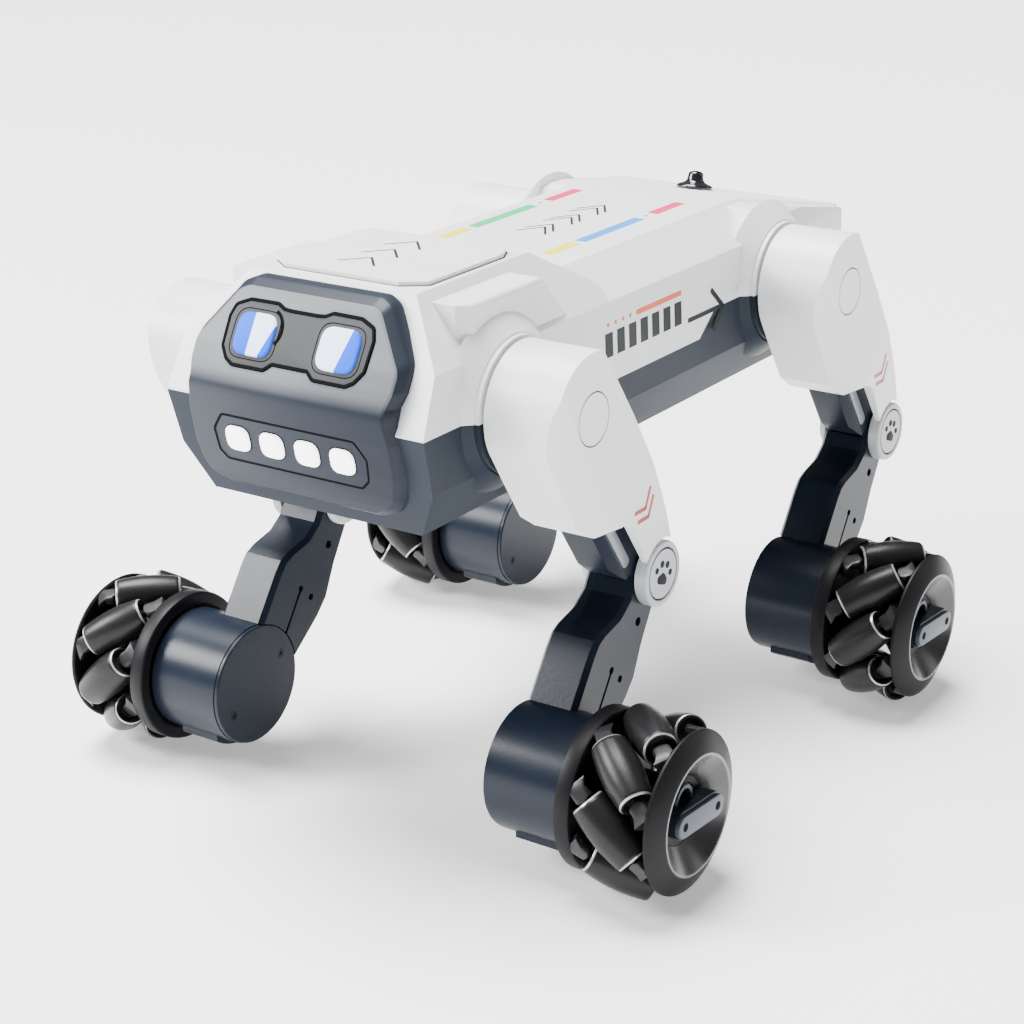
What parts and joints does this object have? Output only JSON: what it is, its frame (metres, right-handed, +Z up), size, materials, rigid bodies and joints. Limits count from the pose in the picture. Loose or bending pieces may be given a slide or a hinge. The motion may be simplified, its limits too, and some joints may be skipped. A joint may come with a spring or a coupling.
{
  "type": "quadruped robot dog",
  "caption": "Small four-legged robot dog with a faceted head and visor, jointed legs ending in mecanum wheels, and a push button on its back.",
  "frame": {"origin": "under the middle of the bounding box, on the floor the wheels stand on", "axes": "+Z up, the head faces -Y, the dog's left side is +X, x = 0 is the plane of symmetry of the body"},
  "size_m": [0.2464, 0.2772, 0.1884],
  "materials": {
    "shell_white": "satin",
    "shell_slate": "satin",
    "visor_slate": "satin",
    "lens_white": "glossy, translucent",
    "button_black": "glossy",
    "servo_black": "matt",
    "battery_wrap": "satin wrap",
    "board_green": "satin",
    "cover_white": "satin",
    "leg_navy": "satin",
    "hub_metal": "satin",
    "roller_rubber": "satin"
  },
  "bodies": {
    "chassis": {"upper_shell": "shell_white", "belly_shell": "shell_slate", "face_panel": "visor_slate", "face_lenses": "lens_white", "hip_servos": "servo_black", "battery_pack": "battery_wrap", "circuit_board": "board_green"},
    "button": {"power_button": "button_black"},
    "front_left_thigh": {"front_left_thigh_cover": "cover_white", "front_left_thigh_frame": "leg_navy"},
    "front_left_shin": {"front_left_shin": "leg_navy", "front_left_wheel_motor": "leg_navy"},
    "front_left_wheel": {"front_left_wheel_hub": "hub_metal"},
    "front_left_roller_1": {"front_left_roller_1": "roller_rubber"},
    "front_left_roller_2": {"front_left_roller_2": "roller_rubber"},
    "front_left_roller_3": {"front_left_roller_3": "roller_rubber"},
    "front_left_roller_4": {"front_left_roller_4": "roller_rubber"},
    "front_left_roller_5": {"front_left_roller_5": "roller_rubber"},
    "front_left_roller_6": {"front_left_roller_6": "roller_rubber"},
    "front_left_roller_7": {"front_left_roller_7": "roller_rubber"},
    "front_left_roller_8": {"front_left_roller_8": "roller_rubber"},
    "front_right_thigh": {"front_right_thigh_cover": "cover_white", "front_right_thigh_frame": "leg_navy"},
    "front_right_shin": {"front_right_shin": "leg_navy", "front_right_wheel_motor": "leg_navy"},
    "front_right_wheel": {"front_right_wheel_hub": "hub_metal"},
    "front_right_roller_1": {"front_right_roller_1": "roller_rubber"},
    "front_right_roller_2": {"front_right_roller_2": "roller_rubber"},
    "front_right_roller_3": {"front_right_roller_3": "roller_rubber"},
    "front_right_roller_4": {"front_right_roller_4": "roller_rubber"},
    "front_right_roller_5": {"front_right_roller_5": "roller_rubber"},
    "front_right_roller_6": {"front_right_roller_6": "roller_rubber"},
    "front_right_roller_7": {"front_right_roller_7": "roller_rubber"},
    "front_right_roller_8": {"front_right_roller_8": "roller_rubber"},
    "rear_left_thigh": {"rear_left_thigh_cover": "cover_white", "rear_left_thigh_frame": "leg_navy"},
    "rear_left_shin": {"rear_left_shin": "leg_navy", "rear_left_wheel_motor": "leg_navy"},
    "rear_left_wheel": {"rear_left_wheel_hub": "hub_metal"},
    "rear_left_roller_1": {"rear_left_roller_1": "roller_rubber"},
    "rear_left_roller_2": {"rear_left_roller_2": "roller_rubber"},
    "rear_left_roller_3": {"rear_left_roller_3": "roller_rubber"},
    "rear_left_roller_4": {"rear_left_roller_4": "roller_rubber"},
    "rear_left_roller_5": {"rear_left_roller_5": "roller_rubber"},
    "rear_left_roller_6": {"rear_left_roller_6": "roller_rubber"},
    "rear_left_roller_7": {"rear_left_roller_7": "roller_rubber"},
    "rear_left_roller_8": {"rear_left_roller_8": "roller_rubber"},
    "rear_right_thigh": {"rear_right_thigh_cover": "cover_white", "rear_right_thigh_frame": "leg_navy"},
    "rear_right_shin": {"rear_right_shin": "leg_navy", "rear_right_wheel_motor": "leg_navy"},
    "rear_right_wheel": {"rear_right_wheel_hub": "hub_metal"},
    "rear_right_roller_1": {"rear_right_roller_1": "roller_rubber"},
    "rear_right_roller_2": {"rear_right_roller_2": "roller_rubber"},
    "rear_right_roller_3": {"rear_right_roller_3": "roller_rubber"},
    "rear_right_roller_4": {"rear_right_roller_4": "roller_rubber"},
    "rear_right_roller_5": {"rear_right_roller_5": "roller_rubber"},
    "rear_right_roller_6": {"rear_right_roller_6": "roller_rubber"},
    "rear_right_roller_7": {"rear_right_roller_7": "roller_rubber"},
    "rear_right_roller_8": {"rear_right_roller_8": "roller_rubber"}
  },
  "joints": [
    {"name": "front_left_hip", "type": "hinge", "parent": "chassis", "child": "front_left_thigh", "pos_m": [0.05, -0.09039, 0.1503], "axis": [1, 0, 0], "range_deg": [-35, 35]},
    {"name": "front_left_knee", "type": "hinge", "parent": "front_left_thigh", "child": "front_left_shin", "pos_m": [0.06465, -0.04379, 0.0835], "axis": [1, 0, 0], "range_deg": [-25, 45]},
    {"name": "front_left_wheel_spin", "type": "hinge", "parent": "front_left_shin", "child": "front_left_wheel", "pos_m": [0.1043, -0.09429, 0.03], "axis": [1, 0, 0], "continuous": true},
    {"name": "front_right_hip", "type": "hinge", "parent": "chassis", "child": "front_right_thigh", "pos_m": [-0.05, -0.09039, 0.1503], "axis": [1, 0, 0], "range_deg": [-35, 35]},
    {"name": "front_right_knee", "type": "hinge", "parent": "front_right_thigh", "child": "front_right_shin", "pos_m": [-0.06465, -0.04379, 0.0835], "axis": [1, 0, 0], "range_deg": [-25, 45]},
    {"name": "front_right_wheel_spin", "type": "hinge", "parent": "front_right_shin", "child": "front_right_wheel", "pos_m": [-0.1043, -0.09429, 0.03], "axis": [1, 0, 0], "continuous": true},
    {"name": "rear_left_hip", "type": "hinge", "parent": "chassis", "child": "rear_left_thigh", "pos_m": [0.05, 0.08081, 0.1503], "axis": [1, 0, 0], "range_deg": [-35, 35]},
    {"name": "rear_left_knee", "type": "hinge", "parent": "rear_left_thigh", "child": "rear_left_shin", "pos_m": [0.06465, 0.12741, 0.0835], "axis": [1, 0, 0], "range_deg": [-25, 45]},
    {"name": "rear_left_wheel_spin", "type": "hinge", "parent": "rear_left_shin", "child": "rear_left_wheel", "pos_m": [0.1043, 0.07691, 0.03], "axis": [1, 0, 0], "continuous": true},
    {"name": "rear_right_hip", "type": "hinge", "parent": "chassis", "child": "rear_right_thigh", "pos_m": [-0.05, 0.08081, 0.1503], "axis": [1, 0, 0], "range_deg": [-35, 35]},
    {"name": "rear_right_knee", "type": "hinge", "parent": "rear_right_thigh", "child": "rear_right_shin", "pos_m": [-0.06465, 0.12741, 0.0835], "axis": [1, 0, 0], "range_deg": [-25, 45]},
    {"name": "rear_right_wheel_spin", "type": "hinge", "parent": "rear_right_shin", "child": "rear_right_wheel", "pos_m": [-0.1043, 0.07691, 0.03], "axis": [1, 0, 0], "continuous": true},
    {"name": "power_button_press", "type": "slide", "parent": "chassis", "child": "button", "axis": [0, -0.1924, -0.9813], "range_m": [0, 0.0015], "stiffness_N_per_m": 600, "springref_m": -0.001},
    {"name": "front_left_roller_spin_1", "type": "hinge", "parent": "front_left_wheel", "child": "front_left_roller_1", "pos_m": [0.1043, -0.09429, 0.05315], "axis": [0.7431, -0.6691, 0], "continuous": true},
    {"name": "front_left_roller_spin_2", "type": "hinge", "parent": "front_left_wheel", "child": "front_left_roller_2", "pos_m": [0.1043, -0.07792, 0.04637], "axis": [0.7431, -0.4731, 0.4731], "continuous": true},
    {"name": "front_left_roller_spin_3", "type": "hinge", "parent": "front_left_wheel", "child": "front_left_roller_3", "pos_m": [0.1043, -0.07114, 0.03], "axis": [0.7431, 0, 0.6691], "continuous": true},
    {"name": "front_left_roller_spin_4", "type": "hinge", "parent": "front_left_wheel", "child": "front_left_roller_4", "pos_m": [0.1043, -0.07792, 0.01363], "axis": [0.7431, 0.4731, 0.4731], "continuous": true},
    {"name": "front_left_roller_spin_5", "type": "hinge", "parent": "front_left_wheel", "child": "front_left_roller_5", "pos_m": [0.1043, -0.09429, 0.00685], "axis": [0.7431, 0.6691, 0], "continuous": true},
    {"name": "front_left_roller_spin_6", "type": "hinge", "parent": "front_left_wheel", "child": "front_left_roller_6", "pos_m": [0.1043, -0.11066, 0.01363], "axis": [0.7431, 0.4731, -0.4731], "continuous": true},
    {"name": "front_left_roller_spin_7", "type": "hinge", "parent": "front_left_wheel", "child": "front_left_roller_7", "pos_m": [0.1043, -0.11744, 0.03], "axis": [0.7431, 0, -0.6691], "continuous": true},
    {"name": "front_left_roller_spin_8", "type": "hinge", "parent": "front_left_wheel", "child": "front_left_roller_8", "pos_m": [0.1043, -0.11066, 0.04637], "axis": [0.7431, -0.4731, -0.4731], "continuous": true},
    {"name": "front_right_roller_spin_1", "type": "hinge", "parent": "front_right_wheel", "child": "front_right_roller_1", "pos_m": [-0.1043, -0.09429, 0.05315], "axis": [-0.7431, -0.6691, 0], "continuous": true},
    {"name": "front_right_roller_spin_2", "type": "hinge", "parent": "front_right_wheel", "child": "front_right_roller_2", "pos_m": [-0.1043, -0.07792, 0.04637], "axis": [-0.7431, -0.4731, 0.4731], "continuous": true},
    {"name": "front_right_roller_spin_3", "type": "hinge", "parent": "front_right_wheel", "child": "front_right_roller_3", "pos_m": [-0.1043, -0.07114, 0.03], "axis": [-0.7431, 0, 0.6691], "continuous": true},
    {"name": "front_right_roller_spin_4", "type": "hinge", "parent": "front_right_wheel", "child": "front_right_roller_4", "pos_m": [-0.1043, -0.07792, 0.01363], "axis": [-0.7431, 0.4731, 0.4731], "continuous": true},
    {"name": "front_right_roller_spin_5", "type": "hinge", "parent": "front_right_wheel", "child": "front_right_roller_5", "pos_m": [-0.1043, -0.09429, 0.00685], "axis": [-0.7431, 0.6691, 0], "continuous": true},
    {"name": "front_right_roller_spin_6", "type": "hinge", "parent": "front_right_wheel", "child": "front_right_roller_6", "pos_m": [-0.1043, -0.11066, 0.01363], "axis": [-0.7431, 0.4731, -0.4731], "continuous": true},
    {"name": "front_right_roller_spin_7", "type": "hinge", "parent": "front_right_wheel", "child": "front_right_roller_7", "pos_m": [-0.1043, -0.11744, 0.03], "axis": [-0.7431, 0, -0.6691], "continuous": true},
    {"name": "front_right_roller_spin_8", "type": "hinge", "parent": "front_right_wheel", "child": "front_right_roller_8", "pos_m": [-0.1043, -0.11066, 0.04637], "axis": [-0.7431, -0.4731, -0.4731], "continuous": true},
    {"name": "rear_left_roller_spin_1", "type": "hinge", "parent": "rear_left_wheel", "child": "rear_left_roller_1", "pos_m": [0.1043, 0.07691, 0.05315], "axis": [0.7431, 0.6691, 0], "continuous": true},
    {"name": "rear_left_roller_spin_2", "type": "hinge", "parent": "rear_left_wheel", "child": "rear_left_roller_2", "pos_m": [0.1043, 0.09328, 0.04637], "axis": [0.7431, 0.4731, -0.4731], "continuous": true},
    {"name": "rear_left_roller_spin_3", "type": "hinge", "parent": "rear_left_wheel", "child": "rear_left_roller_3", "pos_m": [0.1043, 0.10006, 0.03], "axis": [0.7431, 0, -0.6691], "continuous": true},
    {"name": "rear_left_roller_spin_4", "type": "hinge", "parent": "rear_left_wheel", "child": "rear_left_roller_4", "pos_m": [0.1043, 0.09328, 0.01363], "axis": [0.7431, -0.4731, -0.4731], "continuous": true},
    {"name": "rear_left_roller_spin_5", "type": "hinge", "parent": "rear_left_wheel", "child": "rear_left_roller_5", "pos_m": [0.1043, 0.07691, 0.00685], "axis": [0.7431, -0.6691, 0], "continuous": true},
    {"name": "rear_left_roller_spin_6", "type": "hinge", "parent": "rear_left_wheel", "child": "rear_left_roller_6", "pos_m": [0.1043, 0.06054, 0.01363], "axis": [0.7431, -0.4731, 0.4731], "continuous": true},
    {"name": "rear_left_roller_spin_7", "type": "hinge", "parent": "rear_left_wheel", "child": "rear_left_roller_7", "pos_m": [0.1043, 0.05376, 0.03], "axis": [0.7431, 0, 0.6691], "continuous": true},
    {"name": "rear_left_roller_spin_8", "type": "hinge", "parent": "rear_left_wheel", "child": "rear_left_roller_8", "pos_m": [0.1043, 0.06054, 0.04637], "axis": [0.7431, 0.4731, 0.4731], "continuous": true},
    {"name": "rear_right_roller_spin_1", "type": "hinge", "parent": "rear_right_wheel", "child": "rear_right_roller_1", "pos_m": [-0.1043, 0.07691, 0.05315], "axis": [-0.7431, 0.6691, 0], "continuous": true},
    {"name": "rear_right_roller_spin_2", "type": "hinge", "parent": "rear_right_wheel", "child": "rear_right_roller_2", "pos_m": [-0.1043, 0.09328, 0.04637], "axis": [-0.7431, 0.4731, -0.4731], "continuous": true},
    {"name": "rear_right_roller_spin_3", "type": "hinge", "parent": "rear_right_wheel", "child": "rear_right_roller_3", "pos_m": [-0.1043, 0.10006, 0.03], "axis": [-0.7431, 0, -0.6691], "continuous": true},
    {"name": "rear_right_roller_spin_4", "type": "hinge", "parent": "rear_right_wheel", "child": "rear_right_roller_4", "pos_m": [-0.1043, 0.09328, 0.01363], "axis": [-0.7431, -0.4731, -0.4731], "continuous": true},
    {"name": "rear_right_roller_spin_5", "type": "hinge", "parent": "rear_right_wheel", "child": "rear_right_roller_5", "pos_m": [-0.1043, 0.07691, 0.00685], "axis": [-0.7431, -0.6691, 0], "continuous": true},
    {"name": "rear_right_roller_spin_6", "type": "hinge", "parent": "rear_right_wheel", "child": "rear_right_roller_6", "pos_m": [-0.1043, 0.06054, 0.01363], "axis": [-0.7431, -0.4731, 0.4731], "continuous": true},
    {"name": "rear_right_roller_spin_7", "type": "hinge", "parent": "rear_right_wheel", "child": "rear_right_roller_7", "pos_m": [-0.1043, 0.05376, 0.03], "axis": [-0.7431, 0, 0.6691], "continuous": true},
    {"name": "rear_right_roller_spin_8", "type": "hinge", "parent": "rear_right_wheel", "child": "rear_right_roller_8", "pos_m": [-0.1043, 0.06054, 0.04637], "axis": [-0.7431, 0.4731, 0.4731], "continuous": true}
  ]
}
